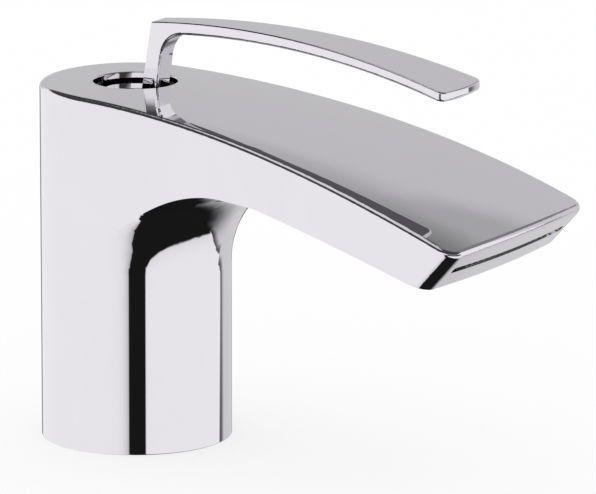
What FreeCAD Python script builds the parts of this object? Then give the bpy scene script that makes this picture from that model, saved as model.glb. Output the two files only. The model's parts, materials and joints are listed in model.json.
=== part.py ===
import FreeCAD, Part
import math
import os

from FreeCAD import Placement, Rotation, Vector

# Single-lever mixer tap with a broad arched spout.
# Millimetres and degrees. The origin is on the column's axis, on the face it stands on.
# +X points along the spout, +Z up, and the part is symmetrical about the XZ plane.

# Casing, outside
COLUMN_RADIUS = 25.0
CASING_HEIGHT = 94.9
RIM_CREST_X = -18.0
RIM_CREST_DROP = 0.53
RIM_ARC_RADIUS = 344.0
TOP_CROWN = 1.55
CROWN_EASE = 12.3
SIDE_FLARE_ANGLE = 3.1
FRONT_HALF_WIDTH = 35.1
FRONT_REACH = 117.6
FRONT_BOW = 1.7
FRONT_UNDERCUT_ANGLE = 42.0
FRONT_CORNER_RADIUS = 4.7
SPOUT_ROOT_X = 40.0
SPOUT_ROOT_DEPTH = 15.95
SPOUT_TIP_BACK = 12.6
SPOUT_TIP_DEPTH = 15.3
UNDERSIDE_ARC_RADIUS = 600.0
ARCH_RADIUS = 26.0
ARCH_START_X = 54.0
ARCH_RISE_ANGLE = 4.6
ARCH_BLEND_RADIUS = 10.0
TOP_EDGE_ROUND = 1.4
FOOT_EDGE_ROUND = 0.25

# Casing, inside
COLUMN_WALL = 4.5
CEILING_DEPTH = 14.9
TOP_HOLE_RADIUS = 11.05
TOP_HOLE_LIP = 1.5
TOP_HOLE_LEDGE = 1.75
TOP_HOLE_ROUND = 0.3
SPOUT_WALL = 2.6
SPOUT_SIDE_WALL = 4.5
SPOUT_FRONT_WALL = 6.5
DUCT_HALF_WIDTH = 14.0
DUCT_HEIGHT = 14.0
DUCT_FLOOR_RISE = 1.0
CHANNEL_START = 21.0

# Outlet slot and what is in it
SLOT_DOWN_FACE = 8.2
SLOT_HEIGHT = 1.8
SLOT_END_MARGIN = 6.5
SLOT_END_LENGTH = 7.4
SLOT_END_ROUND = 0.7
SLOT_DEPTH = 3.0
SLOT_ANGLE = 19.0
INSERT_SETBACK = 1.0
INSERT_LENGTH = 4.0
INSERT_SHOULDER = 0.45
INSERT_CLEARANCE = 0.1
JET_COUNT = 14
JET_WIDTH = 2.0
JET_HEIGHT = 1.1
OUTLET_SEAL_THICKNESS = 0.8

# Foot
BASE_GASKET_INSET = 1.4
BASE_GASKET_WIDTH = 2.0
BASE_GASKET_HEIGHT = 1.9
RING_NUT_BOTTOM = 3.0
RING_NUT_HEIGHT = 6.0
RING_NUT_WIDTH = 4.35
RING_NUT_NOTCH_WIDTH = 4.0
RING_NUT_NOTCH_DEPTH = 2.0

# Valve core
CORE_CLEARANCE = 0.15
INLET_RADIUS = 5.0
INLET_DEPTH = 14.0
INLET_X = 5.0
INLET_Y = 6.2
STUD_RADIUS = 4.0
STUD_DEPTH = 16.0
STUD_X = -10.0
MIXED_TURN_DEPTH = 10.0
MIXED_TURN_HEIGHT = 6.0
CORE_SEAL_SECTION = 1.2
CORE_SEAL_LOW = 8.0
CORE_SEAL_HIGH = 26.0
STRAINER_RADIUS = 4.2
STRAINER_CLEARANCE = 0.1
STRAINER_THICKNESS = 1.5
STRAINER_HOLE_RADIUS = 0.45
STRAINER_HOLE_CIRCLE = 2.4
STRAINER_HOLES = 8

# Cartridge
HOUSING_RADIUS = 17.4
HOUSING_WALL = 2.8
HOUSING_LID = 3.0
HOUSING_GASKET_HEIGHT = 1.0
HOUSING_GASKET_WIDTH = 4.2
CARTRIDGE_CLEARANCE = 0.2
BASE_PLATE_HEIGHT = 4.5
PORT_X = 4.0
PORT_Y = 5.0
PORT_RADIUS = 2.2
MIXED_PORT_X = -4.5
MIXED_PORT_RADIUS = 3.0
PORT_SEAL_WALL = 1.5
PORT_SEAL_HEIGHT = 1.2
SEAT_CLEARANCE = 0.03
PEG_RADIUS = 1.2
PEG_LENGTH = 5.0
PEG_WALL = 0.85
PEG_ANGLE = 111.4
FIXED_DISC_HEIGHT = 4.0
DISC_GAP = 0.05
MOVING_DISC_ROOM = 4.1
MOVING_DISC_HEIGHT = 3.45
MOVING_POCKET_RADIUS = 4.5
MOVING_POCKET_DEPTH = 1.8
MOVING_POCKET_BACK = 2.1
CARRIER_RIM = 0.5
CARRIER_HEIGHT = 5.6
CARRIER_LIP = 1.0
CARRIER_REST_X = -1.9
ROTOR_GAP = 0.4
ROTOR_DISC_HEIGHT = 3.6
ROTOR_SIDE_GAP = 0.5
GLIDE_WASHER_HEIGHT = 0.35
GLIDE_WASHER_GAP = 0.03
NECK_RADIUS = 7.0
NECK_RUNNING_FIT = 0.08
LUG_HALF_LENGTH = 4.5
LUG_HEIGHT = 4.5
LUG_GAP = 0.3
ROTOR_SEAL_SECTION = 0.9
ROTOR_SEAL_CLEARANCE = 0.05

# Pivot and spindle
PIVOT_RISE = 5.0
LIFT_ANGLE = 20.0
PIN_RADIUS = 1.2
PIN_FIT = 0.03
EAR_RADIUS = 2.6
EAR_THICKNESS = 2.5
EYE_WIDTH = 5.2
EYE_SIDE_GAP = 0.1
STEM_LENGTH = 5.0
ARM_RADIUS = 1.8
ARM_CLEARANCE = 0.4
BALL_RADIUS = 2.3
BALL_CLEARANCE = 0.3
BALL_DEPTH = 2.4

# Handle
HUB_RADIUS = 8.4
HUB_RECESS = 2.5
HUB_EDGE_ROUND = 0.3
HUB_SKIRT = 1.5
HUB_WALL = 1.8
HUB_EAR_CLEARANCE = 0.5
SOCKET_CLEARANCE = 0.05
SCREW_WEB = 1.6
SCREW_HEAD_RADIUS = 2.7
SCREW_HEAD_HEIGHT = 1.3
SCREW_RADIUS = 1.6
SCREW_LENGTH = 4.2
SCREW_KEY_WIDTH = 2.5
SCREW_KEY_DEPTH = 0.9
CAP_RIM = 0.35
CAP_THICKNESS = 0.8
CAP_CLEARANCE = 0.05
POST_HALF_WIDTH = 3.5
POST_BACK_FOOT_X = 3.7
POST_FRONT_FOOT_X = 8.2
POST_LEAN = 0.155
BLADE_BACK_X = 7.0
BLADE_WAIST_X = 10.0
BLADE_WAIST_EASE = 4.0
BLADE_CREST_X = 31.0
BLADE_RISE = 17.6
BLADE_ARC_RADIUS = 240.0
BLADE_THICKNESS = 3.25
BLADE_TIP_THICKNESS = 2.5
BLADE_TIP_X = 97.6
BLADE_TIP_HALF_WIDTH = 10.4
BLADE_TIP_BOW = 0.9
BLADE_TIP_CORNER = 2.2
BLADE_EDGE_ROUND = 0.4
BLADE_UNDER_ROUND = 0.8
ELBOW_LENGTH = 6.0

# How far cutting shapes run past what they cut, how near counts as the same place,
# and the least angle between two faces that makes their edge a sharp one
OVERCUT = 1.0
NEAR = 0.01
SHARP_ANGLE = 20.0

# Points that the top's surface is laid through
TOP_STEPS_ALONG = 30
TOP_STEPS_ACROSS = 5

# Worked out from the sizes above
FAR = FRONT_REACH
BORE_RADIUS = COLUMN_RADIUS - COLUMN_WALL
CORE_RADIUS = BORE_RADIUS - CORE_CLEARANCE
CORE_BOTTOM_Z = RING_NUT_BOTTOM + RING_NUT_HEIGHT
HUB_CHAMBER_RADIUS = TOP_HOLE_RADIUS + TOP_HOLE_LEDGE
BASE_GASKET_OUTER = COLUMN_RADIUS - BASE_GASKET_INSET
BASE_GASKET_INNER = BASE_GASKET_OUTER - BASE_GASKET_WIDTH
SLOT_HALF_LENGTH = FRONT_HALF_WIDTH - SLOT_END_MARGIN
INSERT_HALF_LENGTH = SLOT_HALF_LENGTH - SLOT_END_LENGTH
INSERT_HEIGHT = SLOT_HEIGHT - 2 * INSERT_CLEARANCE
INSERT_BACK = -INSERT_SETBACK - INSERT_LENGTH
CEILING_Z = CASING_HEIGHT - CEILING_DEPTH
HOUSING_TOP_Z = CEILING_Z - HOUSING_GASKET_HEIGHT
HOUSING_INNER = HOUSING_RADIUS - HOUSING_WALL
PLATE_RADIUS = HOUSING_INNER - CARTRIDGE_CLEARANCE
ROTOR_RADIUS = HOUSING_INNER - ROTOR_SIDE_GAP
PEG_CIRCLE = PLATE_RADIUS - PEG_WALL - PEG_RADIUS
MOVING_DISC_RADIUS = HOUSING_INNER - MOVING_DISC_ROOM
CARRIER_RADIUS = MOVING_DISC_RADIUS + CARRIER_RIM
LID_BOTTOM_Z = HOUSING_TOP_Z - HOUSING_LID
ROTOR_TOP_Z = LID_BOTTOM_Z - GLIDE_WASHER_HEIGHT - 2 * GLIDE_WASHER_GAP
ROTOR_BOTTOM_Z = ROTOR_TOP_Z - ROTOR_DISC_HEIGHT
CARRIER_TOP_Z = ROTOR_BOTTOM_Z - ROTOR_GAP
CARRIER_BOTTOM_Z = CARRIER_TOP_Z - CARRIER_HEIGHT
MOVING_DISC_BOTTOM_Z = CARRIER_BOTTOM_Z - MOVING_DISC_HEIGHT
FIXED_DISC_TOP_Z = MOVING_DISC_BOTTOM_Z - DISC_GAP
BASE_PLATE_TOP_Z = FIXED_DISC_TOP_Z - FIXED_DISC_HEIGHT
CORE_TOP_Z = BASE_PLATE_TOP_Z - BASE_PLATE_HEIGHT
DUCT_FLOOR_Z = CEILING_Z - DUCT_HEIGHT
ROTOR_SEAL_Z = (LID_BOTTOM_Z + HOUSING_TOP_Z) / 2
PIVOT_Z = HOUSING_TOP_Z + PIVOT_RISE
BALL_Z = CARRIER_TOP_Z - BALL_DEPTH
EAR_INNER = EYE_WIDTH / 2 + EYE_SIDE_GAP
EAR_OUTER = EAR_INNER + EAR_THICKNESS
BLADE_CREST_Z = CASING_HEIGHT + BLADE_RISE
PORTS = [
    (PORT_X, PORT_Y, PORT_RADIUS),
    (PORT_X, -PORT_Y, PORT_RADIUS),
    (MIXED_PORT_X, 0.0, MIXED_PORT_RADIUS),
]


def rim_z(x):
    """Height of the casing's top along its two long edges."""
    run = x - RIM_CREST_X
    return CASING_HEIGHT - RIM_CREST_DROP - RIM_ARC_RADIUS + math.sqrt(RIM_ARC_RADIUS ** 2 - run ** 2)


def crown(x):
    """How far the middle of the top stands above its edges: it grows from the back to the spout."""
    return TOP_CROWN * (1 + math.tanh(x / CROWN_EASE)) / 2


def top_z(x):
    """Height of the casing's top on the centre line."""
    return rim_z(x) + crown(x)


def arc_centre(radius, start, end):
    """Centre of an arc in the XZ plane that curves down from start to end."""
    half = (end - start) * 0.5
    drop = math.sqrt(radius ** 2 - half.Length ** 2)
    return start + half + Vector(half.z, 0, -half.x).normalize() * drop


SPOUT_TIP_X = FRONT_REACH - SPOUT_TIP_BACK
UNDER_CENTRE = arc_centre(
    UNDERSIDE_ARC_RADIUS,
    Vector(SPOUT_ROOT_X, 0, top_z(SPOUT_ROOT_X) - SPOUT_ROOT_DEPTH),
    Vector(SPOUT_TIP_X, 0, top_z(SPOUT_TIP_X) - SPOUT_TIP_DEPTH),
)
LIP_BOTTOM_Z = top_z(TOP_HOLE_RADIUS) - TOP_HOLE_LIP
HUB_TOP_Z = top_z(0) - HUB_RECESS
SCREW_SEAT_Z = HUB_TOP_Z - CAP_THICKNESS - CAP_CLEARANCE - SCREW_HEAD_HEIGHT
SOCKET_TOP_Z = SCREW_SEAT_Z - SCREW_WEB
STEM_TOP_Z = SOCKET_TOP_Z - SOCKET_CLEARANCE
CAP_RADIUS = SCREW_HEAD_RADIUS + CAP_RIM


def under_z(x, raised=0.0):
    """Height of the spout's underside, or of an arc that runs above it at a steady distance."""
    radius = UNDERSIDE_ARC_RADIUS + raised
    return UNDER_CENTRE.z + math.sqrt(radius ** 2 - (x - UNDER_CENTRE.x) ** 2)


def roof_z(x):
    """Height of the water channel's roof, below the top's edges by a wall."""
    return rim_z(x) - SPOUT_WALL


def blade_z(x, lowered=0.0):
    """Height of the lever blade's top, or of an arc below it at a steady distance."""
    radius = BLADE_ARC_RADIUS - lowered
    return BLADE_CREST_Z - BLADE_ARC_RADIUS + math.sqrt(radius ** 2 - (x - BLADE_CREST_X) ** 2)


def cylinder(radius, low, high, x=0.0, y=0.0):
    """Upright cylinder between two heights."""
    return Part.makeCylinder(radius, high - low, Vector(x, y, low))


def crosswise(radius, half_length, z):
    """Cylinder along Y, centred on the XZ plane above the origin."""
    return Part.makeCylinder(radius, 2 * half_length, Vector(0, -half_length, z), Vector(0, 1, 0))


def ring(outer, inner, low, high, x=0.0, y=0.0):
    """Upright ring between two heights."""
    return cylinder(outer, low, high, x, y).cut(cylinder(inner, low - OVERCUT, high + OVERCUT, x, y))


def block(x_low, x_high, half_width, low, high):
    """Box that is symmetrical about the XZ plane."""
    return Part.makeBox(x_high - x_low, 2 * half_width, high - low, Vector(x_low, -half_width, low))


def seal_ring(outer, section, z):
    """Round rubber ring: section is its thickness."""
    return Part.makeTorus(outer - section / 2, section / 2, Vector(0, 0, z))


def seal_groove(outer, depth, section, z):
    """Ring-shaped cut for a seal in the side of a round piece."""
    return ring(outer + OVERCUT, outer - depth, z - section / 2, z + section / 2)


def arc_xz(height, x_low, x_high, *args):
    """Arc edge over a range of x, on a height function."""
    points = [Vector(x, 0, height(x, *args)) for x in (x_low, (x_low + x_high) / 2, x_high)]
    return Part.Arc(*points).toShape()


def polyline(*points):
    """Straight edges through points."""
    return [Part.makeLine(start, end) for start, end in zip(points, points[1:])]


def side_profile(edges, half_width):
    """Solid from a closed outline in the XZ plane, extruded to both sides."""
    face = Part.Face(Part.Wire(edges))
    face.translate(Vector(0, -half_width, 0))
    return face.extrude(Vector(0, 2 * half_width, 0))


def middle_normal(face):
    """Outward direction in the middle of a face."""
    u_low, u_high, v_low, v_high = face.ParameterRange
    return face.normalAt((u_low + u_high) / 2, (v_low + v_high) / 2)


def side_curve(inset=0.0):
    """Curve of the casing's side seen from above, from the round column to the front."""
    radius = COLUMN_RADIUS - inset
    flare = math.radians(SIDE_FLARE_ANGLE)
    leave = Vector(-radius * math.sin(flare), radius * math.cos(flare), 0)
    arrive = Vector(FRONT_REACH, FRONT_HALF_WIDTH - inset, 0)
    handle = (FRONT_REACH - leave.x) / 3
    curve = Part.BezierCurve()
    curve.setPoles(
        [
            leave,
            leave + Vector(handle, handle * math.tan(flare), 0),
            arrive - Vector(handle, 0, 0),
            arrive,
        ]
    )
    return curve


def plan_prism(inset, low, high):
    """Upright prism of the casing's outline seen from above, drawn in by a wall."""
    radius = COLUMN_RADIUS - inset
    half = FRONT_HALF_WIDTH - inset
    side = side_curve(inset)
    poles = side.getPoles()
    leave = poles[0]
    arrive = poles[-1]
    other = Part.BezierCurve()
    other.setPoles([Vector(p.x, -p.y, 0) for p in reversed(poles)])
    beyond = FRONT_REACH + COLUMN_RADIUS
    back = Part.Arc(Vector(leave.x, -leave.y, 0), Vector(-radius, 0, 0), leave).toShape()
    front = polyline(arrive, Vector(beyond, half, 0), Vector(beyond, -half, 0), Vector(arrive.x, -half, 0))
    wire = Part.Wire([back, side.toShape()] + front + [other.toShape()])
    prism = Part.Face(wire).extrude(Vector(0, 0, high - low))
    prism.translate(Vector(0, 0, low))
    return prism


def front_cutter(set_back=0.0):
    """Everything in front of the bowed, undercut front face."""
    bow_radius = (FRONT_HALF_WIDTH ** 2 + FRONT_BOW ** 2) / (2 * FRONT_BOW)
    slope = math.tan(math.radians(FRONT_UNDERCUT_ANGLE))
    brow_z = top_z(FRONT_REACH)
    rise = CASING_HEIGHT + COLUMN_RADIUS - brow_z
    reach = FRONT_REACH - set_back + slope * rise
    sag = bow_radius - math.sqrt(bow_radius ** 2 - FAR ** 2)
    near_end = Vector(reach - sag, -FAR, 0)
    far_end = Vector(reach - sag, FAR, 0)
    bow = Part.Arc(near_end, Vector(reach, 0, 0), far_end).toShape()
    ahead = reach + 2 * FAR
    rest = polyline(far_end, Vector(ahead, FAR, 0), Vector(ahead, -FAR, 0), near_end)
    face = Part.Face(Part.Wire([bow] + rest))
    face.translate(Vector(0, 0, brow_z + rise))
    height = rise + brow_z / 2
    return face.extrude(Vector(-slope * height, 0, -height))


def top_cutter():
    """Everything above the arched and crowned top."""
    side = side_curve()
    leave = side.value(0)
    x_low = -COLUMN_RADIUS - OVERCUT
    x_high = FRONT_REACH + COLUMN_RADIUS + OVERCUT
    rows = []
    for step in range(TOP_STEPS_ALONG + 1):
        x = x_low + step * (x_high - x_low) / TOP_STEPS_ALONG
        share = (x - leave.x) / (FRONT_REACH - leave.x)
        half = side.value(min(max(share, 0), 1)).y
        row = []
        for place in range(-TOP_STEPS_ACROSS, TOP_STEPS_ACROSS + 1):
            y = place * (FRONT_HALF_WIDTH + OVERCUT) / TOP_STEPS_ACROSS
            row.append(Vector(x, y, top_z(x) - crown(x) * (y / half) ** 2))
        rows.append(row)
    surface = Part.BSplineSurface()
    surface.interpolate(rows)
    return surface.toShape().extrude(Vector(0, 0, CASING_HEIGHT))


def under_cutter():
    """The open space below the spout, rounded where the underside runs into the column."""
    x_high = FRONT_REACH + COLUMN_RADIUS
    floor = -COLUMN_RADIUS
    start = Vector(ARCH_START_X, 0, under_z(ARCH_START_X))
    rise = (ARCH_START_X + FAR) * math.tan(math.radians(ARCH_RISE_ANGLE))
    edges = [arc_xz(under_z, ARCH_START_X, x_high)]
    edges += polyline(
        Vector(x_high, 0, under_z(x_high)),
        Vector(x_high, 0, floor),
        Vector(-FAR, 0, floor),
        Vector(-FAR, 0, start.z + rise),
        start,
    )
    space = side_profile(edges, FAR)
    bend = [edge for edge in space.Edges if (edge.CenterOfMass - start).Length < NEAR]
    space = space.makeFillet(ARCH_BLEND_RADIUS, bend)
    space = space.cut(cylinder(COLUMN_RADIUS, floor - OVERCUT, CASING_HEIGHT + OVERCUT))
    mouth = [
        edge
        for edge in space.Edges
        if math.hypot(edge.CenterOfMass.x, edge.CenterOfMass.y) < COLUMN_RADIUS
        and edge.CenterOfMass.z > 0
    ]
    rounded = space.makeFillet(ARCH_RADIUS, mouth)
    leave_x = -COLUMN_RADIUS * math.sin(math.radians(SIDE_FLARE_ANGLE))
    return rounded.common(block(leave_x, x_high, FAR, floor, CASING_HEIGHT))


def slot_frame():
    """Middle of the slot on the front face, with local X along the outflow."""
    undercut = math.radians(FRONT_UNDERCUT_ANGLE)
    x = FRONT_REACH - SLOT_DOWN_FACE * math.sin(undercut)
    z = top_z(FRONT_REACH) - SLOT_DOWN_FACE * math.cos(undercut)
    return Placement(Vector(x, 0, z), Rotation(Vector(0, 1, 0), SLOT_ANGLE))


def along_slot(x_low, x_high, half_length, height, y=0.0):
    """Box in the slot's own frame, at the slot's middle height."""
    corner = Vector(x_low, y - half_length, -height / 2)
    shape = Part.makeBox(x_high - x_low, 2 * half_length, height, corner)
    shape.Placement = slot_frame()
    return shape


def outlet_throat(x_low, x_high):
    """Opening behind the insert, narrower than it all round."""
    half_length = INSERT_HALF_LENGTH - INSERT_SHOULDER
    return along_slot(x_low, x_high, half_length, SLOT_HEIGHT - 2 * INSERT_SHOULDER)


def slot_opening():
    """Groove along the front face with rounded ends, and the stepped seat of the insert in it."""
    outward = FRONT_CORNER_RADIUS + SLOT_DEPTH
    groove = along_slot(-SLOT_DEPTH, outward, SLOT_HALF_LENGTH, SLOT_HEIGHT)
    ends = [edge for edge in groove.Edges if abs(edge.Length - outward - SLOT_DEPTH) < NEAR]
    groove = groove.makeFillet(SLOT_END_ROUND, ends)
    seat_half = INSERT_HALF_LENGTH + INSERT_CLEARANCE
    seat = along_slot(INSERT_BACK - OUTLET_SEAL_THICKNESS, 0, seat_half, SLOT_HEIGHT)
    return groove.fuse([seat, outlet_throat(-2 * SPOUT_FRONT_WALL, 0)])


def spout_channel():
    """Wide hollow of the spout."""
    x_low = COLUMN_RADIUS + CHANNEL_START
    x_high = FRONT_REACH
    edges = [
        arc_xz(under_z, x_low, x_high, SPOUT_WALL),
        Part.makeLine(Vector(x_high, 0, under_z(x_high, SPOUT_WALL)), Vector(x_high, 0, roof_z(x_high))),
        arc_xz(roof_z, x_high, x_low),
        Part.makeLine(Vector(x_low, 0, roof_z(x_low)), Vector(x_low, 0, under_z(x_low, SPOUT_WALL))),
    ]
    hollow = side_profile(edges, FAR).common(plan_prism(SPOUT_SIDE_WALL, 0, CASING_HEIGHT))
    return hollow.cut(front_cutter(SPOUT_FRONT_WALL / math.cos(math.radians(FRONT_UNDERCUT_ANGLE))))


def feed_duct():
    """Hollow that brings the water from the bore up into the spout's channel."""
    start = HOUSING_RADIUS
    meet = COLUMN_RADIUS + CHANNEL_START + OVERCUT
    throat = COLUMN_RADIUS + SPOUT_SIDE_WALL
    outline = polyline(
        Vector(start, 0, DUCT_FLOOR_Z),
        Vector(throat, 0, DUCT_FLOOR_Z + DUCT_FLOOR_RISE),
        Vector(meet, 0, under_z(meet, SPOUT_WALL)),
        Vector(meet, 0, roof_z(meet)),
        Vector(COLUMN_RADIUS, 0, roof_z(COLUMN_RADIUS)),
        Vector(BORE_RADIUS, 0, CEILING_Z),
        Vector(start, 0, CEILING_Z),
        Vector(start, 0, DUCT_FLOOR_Z),
    )
    return side_profile(outline, DUCT_HALF_WIDTH)


def round_front_corners(prism):
    """Rounds the two slanting edges where the front face meets the sides."""
    corners = [
        edge
        for edge in prism.Edges
        if abs(edge.CenterOfMass.y) > FRONT_HALF_WIDTH - FRONT_BOW
        and edge.BoundBox.XLength > FRONT_CORNER_RADIUS
        and edge.BoundBox.ZLength > FRONT_CORNER_RADIUS
    ]
    return prism.makeFillet(FRONT_CORNER_RADIUS, corners)


def round_top_edge(body):
    """Rounds the whole rim of the top face."""
    upward = [face for face in body.Faces if middle_normal(face).z > 0]
    top = max(upward, key=lambda face: face.Area)
    return body.makeFillet(TOP_EDGE_ROUND, top.OuterWire.Edges)


def round_hole_edge(body):
    """Breaks the sharp edge where the lever's hole comes through the top."""
    rim = [
        edge
        for edge in body.Edges
        if edge.BoundBox.ZMin > LIP_BOTTOM_Z + NEAR
        and all(math.hypot(v.X, v.Y) < TOP_HOLE_RADIUS + NEAR for v in edge.Vertexes)
    ]
    return body.makeFillet(TOP_HOLE_ROUND, rim)


def make_body_casing():
    """Column and spout in one casting."""
    body = round_front_corners(plan_prism(0, 0, CASING_HEIGHT + OVERCUT).cut(front_cutter()))
    body = body.cut(top_cutter()).cut(under_cutter())
    body = round_top_edge(body)
    foot = [edge for edge in body.Edges if edge.BoundBox.ZMax < NEAR]
    body = body.makeFillet(FOOT_EDGE_ROUND, foot)
    body = body.cut(cylinder(BORE_RADIUS, -OVERCUT, CEILING_Z))
    body = body.cut(cylinder(HUB_CHAMBER_RADIUS, CEILING_Z - OVERCUT, LIP_BOTTOM_Z))
    body = body.cut(cylinder(TOP_HOLE_RADIUS, CEILING_Z, CASING_HEIGHT + OVERCUT))
    body = round_hole_edge(body)
    for hollow in (spout_channel(), feed_duct(), slot_opening()):
        body = body.cut(hollow)
    groove = ring(
        BASE_GASKET_OUTER + SEAT_CLEARANCE,
        BASE_GASKET_INNER - SEAT_CLEARANCE,
        -OVERCUT,
        BASE_GASKET_HEIGHT,
    )
    return body.cut(groove)


def make_outlet_insert():
    """Bar with a row of jets, pushed into the slot from the front."""
    shape = along_slot(INSERT_BACK, -INSERT_SETBACK, INSERT_HALF_LENGTH, INSERT_HEIGHT)
    pitch = 2 * INSERT_HALF_LENGTH / JET_COUNT
    for index in range(JET_COUNT):
        y = (index + 0.5) * pitch - INSERT_HALF_LENGTH
        shape = shape.cut(along_slot(INSERT_BACK - OVERCUT, 0, JET_WIDTH / 2, JET_HEIGHT, y))
    return shape


def make_outlet_seal():
    """Flat frame between the insert's back and the shoulder of its seat."""
    back = INSERT_BACK - OUTLET_SEAL_THICKNESS
    outer = along_slot(back, INSERT_BACK, INSERT_HALF_LENGTH, INSERT_HEIGHT)
    return outer.cut(outlet_throat(back - OVERCUT, 0))


def make_base_gasket():
    return ring(BASE_GASKET_OUTER, BASE_GASKET_INNER, 0, BASE_GASKET_HEIGHT)


def make_core_ring_nut():
    """Threaded ring with four notches for a spanner."""
    shape = ring(CORE_RADIUS, CORE_RADIUS - RING_NUT_WIDTH, RING_NUT_BOTTOM, CORE_BOTTOM_Z)
    half = RING_NUT_NOTCH_WIDTH / 2
    low = RING_NUT_BOTTOM - OVERCUT
    high = RING_NUT_BOTTOM + RING_NUT_NOTCH_DEPTH
    shape = shape.cut(block(-half, half, BORE_RADIUS, low, high))
    return shape.cut(block(-BORE_RADIUS, BORE_RADIUS, half, low, high))


def core_seal(height):
    """Ring in a groove of the core, flush with the core's side."""
    return seal_ring(CORE_RADIUS, CORE_SEAL_SECTION, CORE_BOTTOM_Z + height)


def make_valve_core():
    """Block with both inlets and the stud's thread below, and the three ports above."""
    shape = cylinder(CORE_RADIUS, CORE_BOTTOM_Z, CORE_TOP_Z)
    below = CORE_BOTTOM_Z - OVERCUT
    above = CORE_TOP_Z + OVERCUT
    thread_top = CORE_BOTTOM_Z + INLET_DEPTH
    recess_top = thread_top + STRAINER_THICKNESS
    for side in (-1, 1):
        inlet_y = side * INLET_Y
        recess = STRAINER_RADIUS + STRAINER_CLEARANCE
        shape = shape.cut(cylinder(INLET_RADIUS, below, thread_top, INLET_X, inlet_y))
        shape = shape.cut(cylinder(recess, below, recess_top, INLET_X, inlet_y))
        shape = shape.cut(cylinder(PORT_RADIUS, thread_top, above, PORT_X, side * PORT_Y))
        shape = shape.cut(peg(side, SEAT_CLEARANCE))
    shape = shape.cut(cylinder(STUD_RADIUS, below, CORE_BOTTOM_Z + STUD_DEPTH, STUD_X))
    turn_z = CORE_TOP_Z - MIXED_TURN_DEPTH
    outside = -CORE_RADIUS - OVERCUT
    notch = -HOUSING_RADIUS - CARTRIDGE_CLEARANCE
    shape = shape.cut(cylinder(MIXED_PORT_RADIUS, turn_z, above, MIXED_PORT_X))
    shape = shape.cut(block(outside, MIXED_PORT_X, MIXED_PORT_RADIUS, turn_z, turn_z + MIXED_TURN_HEIGHT))
    shape = shape.cut(block(outside, notch, MIXED_PORT_RADIUS, turn_z, above))
    for height in (CORE_SEAL_LOW, CORE_SEAL_HIGH):
        z = CORE_BOTTOM_Z + height
        shape = shape.cut(seal_groove(CORE_RADIUS, CORE_SEAL_SECTION, CORE_SEAL_SECTION, z))
    return shape


def make_inlet_strainers():
    """A drilled disc in a recess above each inlet thread."""
    low = CORE_BOTTOM_Z + INLET_DEPTH
    high = low + STRAINER_THICKNESS
    discs = []
    for side in (-1, 1):
        y = side * INLET_Y
        disc = cylinder(STRAINER_RADIUS, low, high, INLET_X, y)
        for index in range(STRAINER_HOLES):
            turn = math.radians(360 * index / STRAINER_HOLES)
            hole_x = INLET_X + STRAINER_HOLE_CIRCLE * math.cos(turn)
            hole_y = y + STRAINER_HOLE_CIRCLE * math.sin(turn)
            hole = cylinder(STRAINER_HOLE_RADIUS, low - OVERCUT, high + OVERCUT, hole_x, hole_y)
            disc = disc.cut(hole)
        discs.append(disc)
    return Part.makeCompound(discs)


def peg(side, grown=0.0):
    """One locating peg, half in the core and half in the cartridge base."""
    half = PEG_LENGTH / 2
    x = PEG_CIRCLE * math.cos(math.radians(PEG_ANGLE))
    y = PEG_CIRCLE * math.sin(math.radians(PEG_ANGLE)) * side
    return cylinder(PEG_RADIUS + grown, CORE_TOP_Z - half, CORE_TOP_Z + half, x, y)


def make_locating_pegs():
    return Part.makeCompound([peg(-1), peg(1)])


def make_cartridge_base():
    """Bottom plate of the cartridge, with recesses for the port seals."""
    shape = cylinder(PLATE_RADIUS, CORE_TOP_Z, BASE_PLATE_TOP_Z)
    below = CORE_TOP_Z - OVERCUT
    for x, y, radius in PORTS:
        recess = radius + PORT_SEAL_WALL + SEAT_CLEARANCE
        shape = shape.cut(cylinder(radius, below, BASE_PLATE_TOP_Z + OVERCUT, x, y))
        shape = shape.cut(cylinder(recess, below, CORE_TOP_Z + PORT_SEAL_HEIGHT, x, y))
    return shape.cut([peg(-1, SEAT_CLEARANCE), peg(1, SEAT_CLEARANCE)])


def make_port_seals():
    top = CORE_TOP_Z + PORT_SEAL_HEIGHT
    return Part.makeCompound([ring(r + PORT_SEAL_WALL, r, CORE_TOP_Z, top, x, y) for x, y, r in PORTS])


def make_fixed_disc():
    shape = cylinder(PLATE_RADIUS, BASE_PLATE_TOP_Z, FIXED_DISC_TOP_Z)
    for x, y, radius in PORTS:
        shape = shape.cut(cylinder(radius, BASE_PLATE_TOP_Z - OVERCUT, FIXED_DISC_TOP_Z + OVERCUT, x, y))
    return shape


def make_cartridge_housing():
    """Cup, open below, with a hole in its lid for the rotor's neck."""
    shape = cylinder(HOUSING_RADIUS, CORE_TOP_Z, HOUSING_TOP_Z)
    shape = shape.cut(cylinder(HOUSING_INNER, CORE_TOP_Z - OVERCUT, LID_BOTTOM_Z))
    return shape.cut(cylinder(NECK_RADIUS + NECK_RUNNING_FIT, LID_BOTTOM_Z, HOUSING_TOP_Z + OVERCUT))


def make_housing_gasket():
    return ring(HOUSING_RADIUS, HOUSING_RADIUS - HOUSING_GASKET_WIDTH, HOUSING_TOP_Z, CEILING_Z)


def make_glide_washer():
    low = ROTOR_TOP_Z + GLIDE_WASHER_GAP
    return ring(ROTOR_RADIUS, NECK_RADIUS + NECK_RUNNING_FIT, low, low + GLIDE_WASHER_HEIGHT)


def arm_slot(low, high):
    """Room for the spindle's arm between two heights, from upright to fully lifted."""
    lift = math.radians(LIFT_ANGLE)
    ahead = (PIVOT_Z - low) * math.tan(lift) + ARM_RADIUS / math.cos(lift)
    half = ARM_RADIUS + ARM_CLEARANCE
    return block(-half, ahead + ARM_CLEARANCE / 2, half, low, high)


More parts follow.
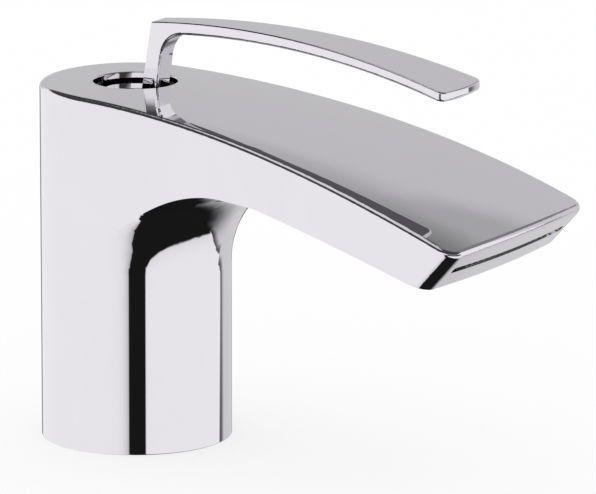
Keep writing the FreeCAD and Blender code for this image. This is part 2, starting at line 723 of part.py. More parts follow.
def make_rotor():
    """Disc with two guide lugs below, a neck through the lid, and two ears for the pin."""
    ears_top = PIVOT_Z + EAR_RADIUS
    shape = cylinder(ROTOR_RADIUS, ROTOR_BOTTOM_Z, ROTOR_TOP_Z)
    neck = cylinder(NECK_RADIUS, ROTOR_BOTTOM_Z, HOUSING_TOP_Z)
    ears = block(-EAR_RADIUS, EAR_RADIUS, EAR_OUTER, ROTOR_TOP_Z, PIVOT_Z)
    ears = ears.fuse(crosswise(EAR_RADIUS, EAR_OUTER, PIVOT_Z))
    lug_low = ROTOR_BOTTOM_Z - LUG_HEIGHT
    lugs = block(-LUG_HALF_LENGTH, LUG_HALF_LENGTH, ROTOR_RADIUS, lug_low, ROTOR_TOP_Z)
    lugs = lugs.common(cylinder(ROTOR_RADIUS, lug_low, ROTOR_TOP_Z))
    lugs = lugs.cut(block(-ROTOR_RADIUS, ROTOR_RADIUS, CARRIER_RADIUS + LUG_GAP, lug_low, ROTOR_BOTTOM_Z))
    shape = shape.fuse([neck, ears, lugs])
    shape = shape.cut(arm_slot(ROTOR_TOP_Z, HOUSING_TOP_Z))
    shape = shape.cut(arm_slot(ROTOR_BOTTOM_Z, ROTOR_TOP_Z))
    shape = shape.cut(block(-NECK_RADIUS, NECK_RADIUS, EAR_INNER, HOUSING_TOP_Z, ears_top))
    shape = shape.cut(crosswise(PIN_RADIUS + SEAT_CLEARANCE / 2, EAR_OUTER + OVERCUT, PIVOT_Z))
    groove_depth = ROTOR_SEAL_SECTION + ROTOR_SEAL_CLEARANCE
    return shape.cut(seal_groove(NECK_RADIUS, groove_depth, ROTOR_SEAL_SECTION, ROTOR_SEAL_Z))


def make_rotor_seal():
    return seal_ring(NECK_RADIUS - ROTOR_SEAL_CLEARANCE, ROTOR_SEAL_SECTION, ROTOR_SEAL_Z)


def make_pivot_pin():
    return crosswise(PIN_RADIUS, EAR_OUTER, PIVOT_Z)


def make_disc_carrier():
    """Holder with a rim round the moving disc and a socket for the spindle's ball."""
    rim_low = CARRIER_BOTTOM_Z - CARRIER_LIP
    seat = MOVING_DISC_RADIUS + SEAT_CLEARANCE
    socket = BALL_RADIUS + BALL_CLEARANCE
    shape = cylinder(CARRIER_RADIUS, rim_low, CARRIER_TOP_Z, CARRIER_REST_X)
    shape = shape.cut(cylinder(seat, rim_low - OVERCUT, CARRIER_BOTTOM_Z, CARRIER_REST_X))
    return shape.cut(cylinder(socket, BALL_Z - socket, CARRIER_TOP_Z + OVERCUT))


def make_moving_disc():
    """Disc with a pocket below that joins the ports when it slides forward."""
    shape = cylinder(MOVING_DISC_RADIUS, MOVING_DISC_BOTTOM_Z, CARRIER_BOTTOM_Z, CARRIER_REST_X)
    pocket_x = CARRIER_REST_X - MOVING_POCKET_BACK
    pocket_top = MOVING_DISC_BOTTOM_Z + MOVING_POCKET_DEPTH
    return shape.cut(cylinder(MOVING_POCKET_RADIUS, MOVING_DISC_BOTTOM_Z - OVERCUT, pocket_top, pocket_x))


def make_spindle():
    """Stem for the hub, eye on the pin, and an arm with a ball that drives the carrier."""
    half = EYE_WIDTH / 2
    eye = crosswise(EAR_RADIUS, half, PIVOT_Z)
    stem = block(-STEM_LENGTH / 2, STEM_LENGTH / 2, half, PIVOT_Z, STEM_TOP_Z)
    arm = cylinder(ARM_RADIUS, BALL_Z, PIVOT_Z)
    ball = Part.makeSphere(BALL_RADIUS, Vector(0, 0, BALL_Z))
    shape = eye.fuse([stem, arm, ball])
    shape = shape.cut(crosswise(PIN_RADIUS + PIN_FIT, EYE_WIDTH, PIVOT_Z))
    hole = SCREW_RADIUS + SEAT_CLEARANCE
    return shape.cut(cylinder(hole, SCREW_SEAT_Z - SCREW_LENGTH, STEM_TOP_Z + OVERCUT))


def make_handle_screw():
    """Flat-headed screw with a hexagon key."""
    head_top = SCREW_SEAT_Z + SCREW_HEAD_HEIGHT
    shape = cylinder(SCREW_HEAD_RADIUS, SCREW_SEAT_Z, head_top)
    shape = shape.fuse(cylinder(SCREW_RADIUS, SCREW_SEAT_Z - SCREW_LENGTH, SCREW_SEAT_Z))
    reach = SCREW_KEY_WIDTH / math.sqrt(3)
    points = []
    for index in range(7):
        turn = math.radians(60 * index)
        points.append(Vector(reach * math.cos(turn), reach * math.sin(turn), head_top - SCREW_KEY_DEPTH))
    key = Part.Face(Part.Wire(polyline(*points))).extrude(Vector(0, 0, SCREW_HEAD_HEIGHT))
    return shape.cut(key)


def make_screw_cap():
    return cylinder(CAP_RADIUS, HUB_TOP_Z - CAP_THICKNESS, HUB_TOP_Z)


def lever_profile():
    """Side outline of post and blade, extruded to the blade's full width."""
    foot_z = HUB_TOP_Z - HUB_EDGE_ROUND
    post_up = Vector(POST_LEAN, 0, 1).normalize()
    rise = blade_z(BLADE_BACK_X, BLADE_THICKNESS) - foot_z
    corner_x = POST_FRONT_FOOT_X + POST_LEAN * rise
    corner = Vector(corner_x, 0, blade_z(corner_x, BLADE_THICKNESS))
    ahead_x = corner_x + ELBOW_LENGTH
    ahead = Vector(ahead_x, 0, blade_z(ahead_x, BLADE_THICKNESS))
    along_blade = (ahead - corner).normalize()
    tangent = (ahead - corner).Length
    elbow_low = corner - post_up * tangent
    half_angle = along_blade.getAngle(post_up * -1) / 2
    inward = (along_blade - post_up).normalize()
    bend = corner + inward * tangent * (1 - math.sin(half_angle)) / math.cos(half_angle)
    tip_x = BLADE_TIP_X + BLADE_TIP_BOW + OVERCUT
    tip_top = Vector(tip_x, 0, blade_z(tip_x))
    tip_low = Vector(tip_x, 0, blade_z(tip_x, BLADE_TIP_THICKNESS))
    under_x = (ahead_x + tip_low.x) / 2
    under = Vector(under_x, 0, blade_z(under_x, (BLADE_THICKNESS + BLADE_TIP_THICKNESS) / 2))
    front_foot = Vector(POST_FRONT_FOOT_X, 0, foot_z)
    back_foot = Vector(POST_BACK_FOOT_X, 0, foot_z)
    back_top = Vector(BLADE_BACK_X, 0, blade_z(BLADE_BACK_X))
    edges = [
        Part.makeLine(back_foot, back_top),
        arc_xz(blade_z, BLADE_BACK_X, tip_x),
        Part.makeLine(tip_top, tip_low),
        Part.Arc(tip_low, under, ahead).toShape(),
        Part.Arc(ahead, bend, elbow_low).toShape(),
        Part.makeLine(elbow_low, front_foot),
        Part.makeLine(front_foot, back_foot),
    ]
    return side_profile(edges, BLADE_TIP_HALF_WIDTH + OVERCUT)


def lever_plan():
    """Prism of the blade seen from above: it widens steadily and ends in a soft bow."""
    low = PIVOT_Z
    corner = Vector(BLADE_TIP_X, BLADE_TIP_HALF_WIDTH, low)
    waist = Vector(BLADE_WAIST_X, POST_HALF_WIDTH, low)
    behind = Vector(POST_BACK_FOOT_X - OVERCUT, POST_HALF_WIDTH, low)
    flank = (corner - waist).normalize()
    half_turn = math.atan2(flank.y, flank.x) / 2
    ease_radius = BLADE_WAIST_EASE / math.tan(half_turn)
    ease_start = waist - Vector(BLADE_WAIST_EASE, 0, 0)
    ease_end = waist + flank * BLADE_WAIST_EASE
    ease_centre = ease_start + Vector(0, ease_radius, 0)
    ease_middle = ease_centre + Vector(math.sin(half_turn), -math.cos(half_turn), 0) * ease_radius
    side = [
        Part.makeLine(behind, ease_start),
        Part.Arc(ease_start, ease_middle, ease_end).toShape(),
        Part.makeLine(ease_end, corner),
    ]
    other_side = [edge.mirror(Vector(), Vector(0, 1, 0)) for edge in side]
    tip_middle = Vector(BLADE_TIP_X + BLADE_TIP_BOW, 0, low)
    tip = Part.Arc(corner, tip_middle, Vector(corner.x, -corner.y, low)).toShape()
    back = Part.makeLine(Vector(behind.x, -behind.y, low), behind)
    wire = Part.Wire(Part.__sortEdges__(side + [tip] + other_side + [back]))
    prism = Part.Face(wire).extrude(Vector(0, 0, BLADE_CREST_Z + OVERCUT - low))
    corners = [
        edge
        for edge in prism.Edges
        if edge.BoundBox.ZLength > OVERCUT and abs(edge.CenterOfMass.x - BLADE_TIP_X) < NEAR
    ]
    return prism.makeFillet(BLADE_TIP_CORNER, corners)


def is_sharp(shape, edge):
    """Whether the two faces at an edge meet at a clear angle."""
    middle = edge.valueAt((edge.FirstParameter + edge.LastParameter) / 2)
    faces = shape.ancestorsOfType(edge, Part.Face)
    first, second = [face.normalAt(*face.Surface.parameter(middle)) for face in faces]
    return math.degrees(first.getAngle(second)) > SHARP_ANGLE


def is_under(edge):
    """Whether a lever edge runs along the blade's underside or the front of the post."""
    middle = edge.valueAt((edge.FirstParameter + edge.LastParameter) / 2)
    return middle.z < blade_z(middle.x) - BLADE_TIP_THICKNESS / 2 and middle.x > POST_FRONT_FOOT_X - NEAR


def make_blade():
    """Blade and post: the edges on top are lightly rounded, those below and in front of the post softly."""
    shape = lever_profile().common(lever_plan())
    foot_z = HUB_TOP_Z - HUB_EDGE_ROUND
    sharp = [edge for edge in shape.Edges if edge.BoundBox.ZMax > foot_z + NEAR and is_sharp(shape, edge)]
    under = [edge for edge in sharp if is_under(edge)]
    shape = shape.makeFillet(BLADE_UNDER_ROUND, under)
    sharp = [edge for edge in shape.Edges if edge.BoundBox.ZMax > foot_z + NEAR and is_sharp(shape, edge)]
    return shape.makeFillet(BLADE_EDGE_ROUND, sharp)


def make_handle_lever():
    """Blade, post and hub in one casting."""
    skirt_z = PIVOT_Z - HUB_SKIRT
    hub = cylinder(HUB_RADIUS, skirt_z, HUB_TOP_Z)
    rim = [edge for edge in hub.Edges if edge.BoundBox.ZMin > HUB_TOP_Z - NEAR]
    hub = hub.makeFillet(HUB_EDGE_ROUND, rim)
    shape = hub.fuse(make_blade())
    cavity_top = PIVOT_Z + EAR_RADIUS + HUB_EAR_CLEARANCE
    half_length = STEM_LENGTH / 2 + SOCKET_CLEARANCE
    half_width = EYE_WIDTH / 2 + SOCKET_CLEARANCE
    screw_hole = cylinder(SCREW_RADIUS + SOCKET_CLEARANCE, PIVOT_Z, HUB_TOP_Z)
    head_hole = cylinder(CAP_RADIUS + CAP_CLEARANCE, SCREW_SEAT_Z, HUB_TOP_Z + CAP_CLEARANCE)
    return shape.cut(
        [
            cylinder(HUB_RADIUS - HUB_WALL, skirt_z - OVERCUT, cavity_top),
            block(-half_length, half_length, half_width, PIVOT_Z, SOCKET_TOP_Z),
            screw_hole,
            head_hole,
        ]
    )


NODES = {
    "body_casing": make_body_casing,
    "outlet_insert": make_outlet_insert,
    "outlet_seal": make_outlet_seal,
    "base_gasket": make_base_gasket,
    "core_ring_nut": make_core_ring_nut,
    "valve_core": make_valve_core,
    "lower_core_seal": lambda: core_seal(CORE_SEAL_LOW),
    "upper_core_seal": lambda: core_seal(CORE_SEAL_HIGH),
    "inlet_strainers": make_inlet_strainers,
    "cartridge_base": make_cartridge_base,
    "port_seals": make_port_seals,
    "locating_pegs": make_locating_pegs,
    "fixed_ceramic_disc": make_fixed_disc,
    "cartridge_housing": make_cartridge_housing,
    "housing_gasket": make_housing_gasket,
    "glide_washer": make_glide_washer,
    "rotor": make_rotor,
    "rotor_seal": make_rotor_seal,
    "pivot_pin": make_pivot_pin,
    "disc_carrier": make_disc_carrier,
    "moving_ceramic_disc": make_moving_disc,
    "spindle": make_spindle,
    "handle_lever": make_handle_lever,
    "handle_screw": make_handle_screw,
    "screw_cap": make_screw_cap,
}

os.makedirs("parts", exist_ok=True)
for name, make in NODES.items():
    shape = make()
    print(name, len(shape.Solids), round(shape.Volume, 2), shape.isValid())
    shape.exportStep(f"parts/{name}.step")
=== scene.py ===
import json
import math

import bpy
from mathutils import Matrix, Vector

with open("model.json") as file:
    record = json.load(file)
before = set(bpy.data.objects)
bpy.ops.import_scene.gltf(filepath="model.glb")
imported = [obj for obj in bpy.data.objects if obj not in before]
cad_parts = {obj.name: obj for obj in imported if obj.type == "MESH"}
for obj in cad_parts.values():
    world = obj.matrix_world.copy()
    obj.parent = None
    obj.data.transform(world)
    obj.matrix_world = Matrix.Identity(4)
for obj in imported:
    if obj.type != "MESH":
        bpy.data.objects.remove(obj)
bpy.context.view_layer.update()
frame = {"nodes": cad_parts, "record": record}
bpy.ops.object.select_all(action="DESELECT")

# Where the photograph was taken from, in metres where no other unit is named
VIEW_AZIMUTH = math.radians(30.595)
VIEW_ELEVATION = math.radians(12.876)
VIEW_DISTANCE = 2.0144
VIEW_TARGET = Vector((0.049238, 0.0, 0.05563))
LENS_MM = 470.47
SENSOR_MM = 36.0
NEAR_CLIP = 0.1
FAR_CLIP = 50.0

# Level directions from the tap, towards the camera and to the camera's right
TO_CAMERA = Vector((math.sin(VIEW_AZIMUTH), -math.cos(VIEW_AZIMUTH), 0.0))
TO_RIGHT = Vector((math.cos(VIEW_AZIMUTH), math.sin(VIEW_AZIMUTH), 0.0))
UP = Vector((0.0, 0.0, 1.0))


def make_camera():
    """Long lens, looking slightly down on the tap from its near front."""
    back = TO_CAMERA * math.cos(VIEW_ELEVATION) + UP * math.sin(VIEW_ELEVATION)
    bpy.ops.object.camera_add(location=VIEW_TARGET + back * VIEW_DISTANCE)
    camera = bpy.context.object
    camera.name = "photo_camera"
    camera.rotation_mode = "QUATERNION"
    camera.rotation_quaternion = (-back).to_track_quat("-Z", "Y")
    camera.data.sensor_fit = "HORIZONTAL"
    camera.data.sensor_width = SENSOR_MM
    camera.data.lens = LENS_MM
    camera.data.clip_start = NEAR_CLIP
    camera.data.clip_end = FAR_CLIP
    bpy.context.scene.camera = camera


# Largest height and largest turn, in degrees
QUARTER_TURN = 90.0
HALF_TURN = 180.0


class Nodes:
    """Short calls for laying out the nodes of one material, group or world."""

    def __init__(self, tree):
        self.tree = tree
        tree.nodes.clear()

    def add(self, kind, **settings):
        node = self.tree.nodes.new(kind)
        for key, value in settings.items():
            setattr(node, key, value)
        return node

    def feed(self, socket, value):
        """Links a socket to another one, or sets it to a plain value."""
        if isinstance(value, bpy.types.NodeSocket):
            self.tree.links.new(value, socket)
        else:
            socket.default_value = value

    def math(self, operation, *values):
        node = self.add("ShaderNodeMath", operation=operation)
        for socket, value in zip(node.inputs, values):
            self.feed(socket, value)
        return node.outputs[0]

    def times(self, first, *others):
        for other in others:
            first = self.math("MULTIPLY", first, other)
        return first

    def less(self, value):
        """What is left of 1."""
        return self.math("SUBTRACT", 1.0, value)

    def dim(self, light, share):
        """Light with a share of it taken away."""
        return self.times(light, self.less(share))

    def rise(self, value, border):
        """0 before a soft border, 1 past it, and smooth between its two ends."""
        node = self.add("ShaderNodeMapRange", interpolation_type="SMOOTHSTEP")
        self.feed(node.inputs["Value"], value)
        node.inputs["From Min"].default_value, node.inputs["From Max"].default_value = border
        return node.outputs["Result"]

    def fall(self, value, border):
        """1 before a soft border and 0 past it."""
        return self.less(self.rise(value, border))

    def between(self, value, first, last):
        """1 between two soft borders."""
        return self.times(self.rise(value, first), self.fall(value, last))

    def span(self, value, given, wanted):
        """Straight change from one range to another, held at both ends."""
        node = self.add("ShaderNodeMapRange", clamp=True)
        self.feed(node.inputs["Value"], value)
        for name, end in zip(("From Min", "From Max", "To Min", "To Max"), (*given, *wanted)):
            node.inputs[name].default_value = end
        return node.outputs["Result"]

    def blend(self, factor, first, second):
        """Number between two others."""
        node = self.add("ShaderNodeMix", data_type="FLOAT")
        for socket, value in zip((node.inputs[0], node.inputs[2], node.inputs[3]), (factor, first, second)):
            self.feed(socket, value)
        return node.outputs[0]

    def tint(self, factor, first, second):
        """Colour between two others."""
        node = self.add("ShaderNodeMix", data_type="RGBA")
        for socket, value in zip((node.inputs[0], node.inputs[6], node.inputs[7]), (factor, first, second)):
            self.feed(socket, value)
        return node.outputs[2]

    def curve(self, value, limit, points):
        """Line through points in degrees, for a value from -limit to limit."""
        node = self.add("ShaderNodeFloatCurve")
        node.mapping.extend = "HORIZONTAL"
        self.feed(node.inputs["Value"], self.span(value, (-limit, limit), (0.0, 1.0)))
        line = node.mapping.curves[0]
        while len(line.points) < len(points):
            line.points.new(0.5, 0.5)
        for point, (x, y) in zip(line.points, points):
            point.location = ((x + limit) / (2.0 * limit), (y + HALF_TURN) / (2.0 * HALF_TURN))
            point.handle_type = "VECTOR"
        node.mapping.update()
        return self.math("MULTIPLY_ADD", node.outputs[0], 2.0 * HALF_TURN, -HALF_TURN)


# Studio that the chrome mirrors, by turn right of the way to the camera and height above level, in degrees
STUDIO_TINT = (1.0, 0.995, 1.0, 1.0)

# White panel, and the grey wall right of the tap with its narrow dark gap
WHITE_PANEL = 0.93
GREY_SIDE = 0.66
# Where the white panel ends and the grey side wall begins, as turn by height
SIDE_EDGE = [(-36, 115), (-14, 124), (-8, 124), (4, 114)]
SIDE_BORDER = (-0.7, 0.7)
SIDE_GAP_WIDTH = (1.0, 10.5)
SIDE_GAP_TOP = (-11.0, -7.0)
SIDE_GAP_DEPTH = 0.82
SIDE_SINK = (-56.0, -30.0)
SIDE_SINK_DEPTH = 0.985

# Dark gap towards the camera
DARK_GAP = 0.01
# Left edge of the gap, as turn by height
GAP_LEFT = [(-87, -180), (-86, -36), (-82, -21.5), (-66, -15), (-42, -8.4)]
GAP_BORDER = (-0.8, 0.8)
GAP_RIGHT = (11.1, 12.7)
GAP_TOP = (-4.0, 8.0)
# How far the panel dims beside the gap, and how much, at the two heights
GAP_DIM_HEIGHTS = (-14.0, -62.0)
GAP_DIM_REACH = (5.0, 9.0)
GAP_DIM_DEPTH = (0.45, 0.6)
GAP_DIM_END = (0.0, 12.0)

# Dark floor right of the gap, with its edge as height by turn
FLOOR_EDGE = [
    (12, -22), (16, -33), (28, -42), (45, -48.5), (65, -51),
    (85, -50), (102, -47.5), (114, -44), (120, -58), (180, -72),
]
FLOOR_BORDER = (-1.5, 1.5)
FLOOR_DIM_REACH = 8.0
FLOOR_DIM_DEPTH = 0.15
FLOOR_DIM_LEFT = (8.0, 12.0)
FLOOR_DIM_RIGHT = (108.0, 118.0)

# Dark patch almost straight down, tilted to the back, with its border in degrees from its middle
PATCH_TILT = math.radians(3.5)
PATCH_BORDER = (3.2, 3.9)

# Grey wall behind the tap, dark below it
DARK_BEHIND = 0.11
BEHIND_RIGHT = (169.0, 173.0)
BEHIND_LEFT = (-168.0, -157.0)
BEHIND_TOP = (-8.0, -3.0)
GREY_WALL = 0.567
UPPER_WALL = 0.42
WALL_SIDES = (140.0, 156.0)
WALL_FOOT = (-6.0, 2.0)
# Where the wall darkens, as height by turn
WALL_EDGE = [(-180, 31), (150, 24), (157, 26), (166, 33), (180, 31)]
WALL_BORDER = (-3.0, 2.5)

# Dark ring above the panels and the wall, greyer at the wall's right, and the soft box overhead
DARK_RING = 0.05
GREY_RING = 0.22
GREY_RING_LEFT = (110.0, 122.0)
GREY_RING_RIGHT = (150.0, 158.0)
# Where the ring begins, as height by turn
RING_EDGE = [
    (-180, 31), (-150, 27), (5, 25), (18, 15), (75, 15), (105, 28),
    (122, 25), (152, 23.5), (158, 38.3), (173, 38.3), (180, 31),
]
RING_BORDER = (-5.0, 2.2)
SOFT_BOX = 0.72
SOFT_BOX_FOOT = (58.0, 67.0)
# The soft box is left out from one turn to the other
NO_BOX_LEFT = (0.0, 20.0)
NO_BOX_RIGHT = (150.0, 165.0)

# Dark strip right of the camera, about level
STRIP_LEFT = (12.5, 15.0)
STRIP_RIGHT = (96.0, 104.0)
STRIP_FOOT = (-10.0, -7.5)
STRIP_TOP = (9.0, 11.0)


def make_studio():
    """World: white to the camera, and white panels, dark gaps and a grey wall to shiny surfaces.

    Each border is soft, and its pair of numbers says where it starts and ends.
    """
    world = bpy.data.worlds.new("studio")
    bpy.context.scene.world = world
    world.use_nodes = True
    n = Nodes(world.node_tree)
    way = n.add("ShaderNodeTexCoord").outputs["Generated"]

    def along(axis):
        node = n.add("ShaderNodeVectorMath", operation="DOT_PRODUCT")
        n.feed(node.inputs[0], way)
        node.inputs[1].default_value = axis
        return node.outputs["Value"]

    turn = n.math("DEGREES", n.math("ARCTAN2", along(TO_RIGHT), along(TO_CAMERA)))
    height = n.math("DEGREES", n.math("ARCSINE", along(UP)))

    def right_of(edge):
        return n.math("SUBTRACT", turn, n.curve(height, QUARTER_TURN, edge))

    def above(edge):
        return n.math("SUBTRACT", height, n.curve(turn, HALF_TURN, edge))

    past_gap = right_of(GAP_LEFT)
    past_side = right_of(SIDE_EDGE)
    over_floor = above(FLOOR_EDGE)

    # The panel gives way to the side wall, past its gap. Low down the wall sinks into the dark.
    on_side = n.rise(past_side, SIDE_BORDER)
    light = n.blend(on_side, WHITE_PANEL, GREY_SIDE)
    side_gap = n.times(n.fall(past_side, SIDE_GAP_WIDTH), n.fall(height, SIDE_GAP_TOP), SIDE_GAP_DEPTH)
    light = n.dim(light, n.times(on_side, side_gap))
    light = n.dim(light, n.times(on_side, n.fall(height, SIDE_SINK), SIDE_SINK_DEPTH))

    # The panels dim towards the gap and the floor.
    reach = n.span(height, GAP_DIM_HEIGHTS, GAP_DIM_REACH)
    depth = n.span(height, GAP_DIM_HEIGHTS, GAP_DIM_DEPTH)
    near_gap = n.math("EXPONENT", n.math("DIVIDE", n.math("MINIMUM", past_gap, 0.0), reach))
    light = n.dim(light, n.times(near_gap, depth, n.fall(height, GAP_TOP), n.fall(past_gap, GAP_DIM_END)))
    near_floor = n.math("EXPONENT", n.math("DIVIDE", n.math("MAXIMUM", over_floor, 0.0), -FLOOR_DIM_REACH))
    near_floor = n.times(near_floor, n.between(turn, FLOOR_DIM_LEFT, FLOOR_DIM_RIGHT))
    light = n.dim(light, n.times(near_floor, FLOOR_DIM_DEPTH))

    # Behind stands the wall that the tap's top mirrors.
    behind = n.math("MAXIMUM", n.rise(turn, BEHIND_RIGHT), n.fall(turn, BEHIND_LEFT))
    light = n.blend(n.times(behind, n.fall(height, BEHIND_TOP)), light, DARK_BEHIND)
    wall = n.times(n.rise(n.math("ABSOLUTE", turn), WALL_SIDES), n.rise(height, WALL_FOOT))
    light = n.blend(wall, light, n.blend(n.rise(above(WALL_EDGE), WALL_BORDER), GREY_WALL, UPPER_WALL))

    # Above are the ring and the soft box.
    ring = n.blend(n.between(turn, GREY_RING_LEFT, GREY_RING_RIGHT), DARK_RING, GREY_RING)
    light = n.blend(n.rise(above(RING_EDGE), RING_BORDER), light, ring)
    overhead = n.times(n.rise(height, SOFT_BOX_FOOT), n.less(n.between(turn, NO_BOX_LEFT, NO_BOX_RIGHT)))
    light = n.blend(overhead, light, SOFT_BOX)

    # The strip, the gap, the floor and the patch are all nearly black.
    strip = n.times(n.between(turn, STRIP_LEFT, STRIP_RIGHT), n.between(height, STRIP_FOOT, STRIP_TOP))
    light = n.blend(strip, light, DARK_GAP)
    gap = n.times(n.fall(turn, GAP_RIGHT), n.fall(height, GAP_TOP))
    gap_or_floor = n.math("MAXIMUM", gap, n.fall(over_floor, FLOOR_BORDER))
    dark = n.times(n.rise(past_gap, GAP_BORDER), gap_or_floor)
    patch = -TO_CAMERA * math.sin(PATCH_TILT) - UP * math.cos(PATCH_TILT)
    from_patch = n.math("DEGREES", n.math("ARCCOSINE", along(patch)))
    dark = n.math("MAXIMUM", dark, n.fall(from_patch, PATCH_BORDER))
    light = n.blend(dark, light, DARK_GAP)

    path = n.add("ShaderNodeLightPath")
    seen = n.math("MAXIMUM", path.outputs["Is Camera Ray"], path.outputs["Is Transmission Ray"])
    strength = n.blend(path.outputs["Is Glossy Ray"], 1.0, light)
    background = n.add("ShaderNodeBackground")
    background.inputs["Color"].default_value = STUDIO_TINT
    n.feed(background.inputs["Strength"], n.blend(seen, strength, 1.0))
    output = n.add("ShaderNodeOutputWorld")
    n.feed(output.inputs["Surface"], background.outputs[0])


PALE_FLOOR_SIZE = 8.0
# The floor lies just below the tap's foot, so that the two faces don't coincide
PALE_FLOOR_DROP = 0.0002
PALE_FLOOR_COLOUR = (0.99, 0.982, 0.986, 1.0)
# Share of plain white in what the camera sees of the floor. The rest keeps the shadow.
PALE_FLOOR_GLOW = 0.75


def make_floor():
    """Pale floor that keeps a faint shadow. From below it isn't seen."""
    bpy.ops.mesh.primitive_plane_add(size=PALE_FLOOR_SIZE, location=(0.0, 0.0, -PALE_FLOOR_DROP))
    floor = bpy.context.object
    floor.name = "studio_floor"
    bpy.ops.object.transform_apply(location=True)
    floor.visible_glossy = False
    material = bpy.data.materials.new("pale_floor")
    material.use_nodes = True
    n = Nodes(material.node_tree)
    matte = n.add("ShaderNodeBsdfDiffuse")
    matte.inputs["Color"].default_value = PALE_FLOOR_COLOUR
    glow = n.add("ShaderNodeEmission")
    glow.inputs["Strength"].default_value = 1.0
    path = n.add("ShaderNodeLightPath")
    pale = n.add("ShaderNodeMixShader")
    n.feed(pale.inputs[0], n.times(path.outputs["Is Camera Ray"], PALE_FLOOR_GLOW))
    n.feed(pale.inputs[1], matte.outputs[0])
    n.feed(pale.inputs[2], glow.outputs[0])
    clear = n.add("ShaderNodeBsdfTransparent")
    side = n.add("ShaderNodeNewGeometry")
    sided = n.add("ShaderNodeMixShader")
    n.feed(sided.inputs[0], side.outputs["Backfacing"])
    n.feed(sided.inputs[1], pale.outputs[0])
    n.feed(sided.inputs[2], clear.outputs[0])
    output = n.add("ShaderNodeOutputMaterial")
    n.feed(output.inputs["Surface"], sided.outputs[0])
    floor.data.materials.append(material)


# Where the smudge noise begins to show, and where it is full
SMUDGE_BORDER = (0.3, 0.75)
# Height of the fine unevenness, in metres
BUMP_DISTANCE = 0.0001


def handling_marks():
    """Group: uneven sheen left by cloth and fingers, and the fine unevenness under it."""
    tree = bpy.data.node_groups.new("handling_marks", "ShaderNodeTree")
    for name in ("Smudge Size", "Grain Size"):
        socket = tree.interface.new_socket(name, in_out="INPUT", socket_type="NodeSocketFloat")
        socket.default_value = 1.0
    for name in ("Smudge", "Grain"):
        tree.interface.new_socket(name, in_out="OUTPUT", socket_type="NodeSocketFloat")
    n = Nodes(tree)
    given = n.add("NodeGroupInput")
    place = n.add("ShaderNodeTexCoord").outputs["Object"]
    smudge = n.add("ShaderNodeTexNoise")
    smudge.inputs["Detail"].default_value = 4.0
    smudge.inputs["Roughness"].default_value = 0.6
    smudge.inputs["Distortion"].default_value = 0.8
    n.feed(smudge.inputs["Vector"], place)
    n.feed(smudge.inputs["Scale"], given.outputs["Smudge Size"])
    grain = n.add("ShaderNodeTexNoise")
    grain.inputs["Detail"].default_value = 3.0
    n.feed(grain.inputs["Vector"], place)
    n.feed(grain.inputs["Scale"], given.outputs["Grain Size"])
    put = n.add("NodeGroupOutput")
    n.feed(put.inputs["Smudge"], n.rise(smudge.outputs[0], SMUDGE_BORDER))
    n.feed(put.inputs["Grain"], grain.outputs[0])
    return tree


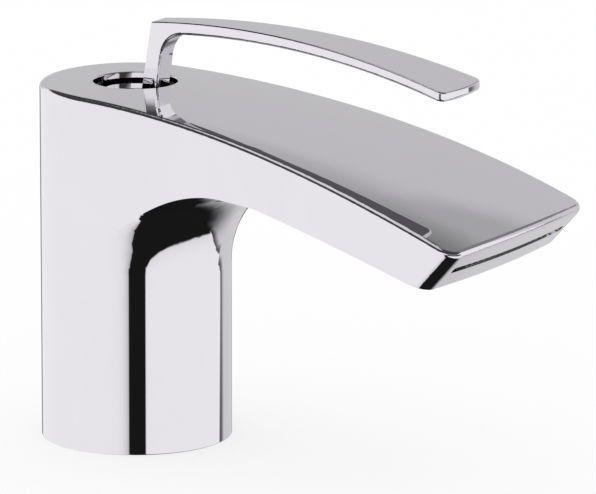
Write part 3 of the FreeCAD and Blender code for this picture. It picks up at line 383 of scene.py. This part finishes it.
def finish_of(name, marks, smudge_size, grain_size, colours, roughness, bump, metallic=0.0):
    """Material whose colour and roughness wander with the marks, over a fine bump."""
    material = bpy.data.materials.new(name)
    material.use_nodes = True
    n = Nodes(material.node_tree)
    group = n.add("ShaderNodeGroup")
    group.node_tree = marks
    group.inputs["Smudge Size"].default_value = smudge_size
    group.inputs["Grain Size"].default_value = grain_size
    shader = n.add("ShaderNodeBsdfPrincipled")
    shader.inputs["Metallic"].default_value = metallic
    clean, smudged = [(*colour, 1.0) for colour in colours]
    n.feed(shader.inputs["Base Color"], n.tint(group.outputs["Smudge"], clean, smudged))
    n.feed(shader.inputs["Roughness"], n.span(group.outputs["Smudge"], (0.0, 1.0), roughness))
    relief = n.add("ShaderNodeBump")
    relief.inputs["Strength"].default_value = bump
    relief.inputs["Distance"].default_value = BUMP_DISTANCE
    n.feed(relief.inputs["Height"], group.outputs["Grain"])
    n.feed(shader.inputs["Normal"], relief.outputs[0])
    output = n.add("ShaderNodeOutputMaterial")
    n.feed(output.inputs["Surface"], shader.outputs[0])
    return material


def make_finishes():
    """One finish for each material slot of the record."""
    marks = handling_marks()
    return {
        "chrome": finish_of(
            "polished_chrome", marks, smudge_size=38.0, grain_size=22.0, metallic=1.0,
            colours=((0.86, 0.844, 0.885), (0.845, 0.829, 0.868)), roughness=(0.012, 0.03), bump=0.01,
        ),
        "brass": finish_of(
            "turned_brass", marks, smudge_size=60.0, grain_size=2600.0, metallic=1.0,
            colours=((0.78, 0.6, 0.31), (0.66, 0.48, 0.22)), roughness=(0.24, 0.38), bump=0.25,
        ),
        "steel": finish_of(
            "drawn_steel", marks, smudge_size=90.0, grain_size=3200.0, metallic=1.0,
            colours=((0.64, 0.64, 0.65), (0.55, 0.55, 0.56)), roughness=(0.22, 0.36), bump=0.2,
        ),
        "black_rubber": finish_of(
            "moulded_rubber", marks, smudge_size=120.0, grain_size=2400.0,
            colours=((0.022, 0.022, 0.024), (0.042, 0.042, 0.043)), roughness=(0.62, 0.82), bump=0.4,
        ),
        "grey_plastic": finish_of(
            "grey_moulding", marks, smudge_size=90.0, grain_size=3000.0,
            colours=((0.1, 0.1, 0.105), (0.14, 0.14, 0.145)), roughness=(0.38, 0.52), bump=0.3,
        ),
        "white_plastic": finish_of(
            "white_moulding", marks, smudge_size=80.0, grain_size=2800.0,
            colours=((0.8, 0.8, 0.775), (0.74, 0.74, 0.72)), roughness=(0.36, 0.5), bump=0.3,
        ),
        "ceramic": finish_of(
            "lapped_ceramic", marks, smudge_size=150.0, grain_size=4000.0,
            colours=((0.87, 0.86, 0.83), (0.82, 0.81, 0.78)), roughness=(0.16, 0.26), bump=0.12,
        ),
    }


def dress_nodes(finishes):
    """Gives every CAD node the finish of its record slot."""
    for part in frame["record"]["subparts"]:
        piece = frame["nodes"][part["node"]]
        piece.data.materials.clear()
        piece.data.materials.append(finishes[part["material_slot"]])


make_camera()
make_studio()
make_floor()
dress_nodes(make_finishes())
bpy.context.scene.view_settings.view_transform = "Standard"
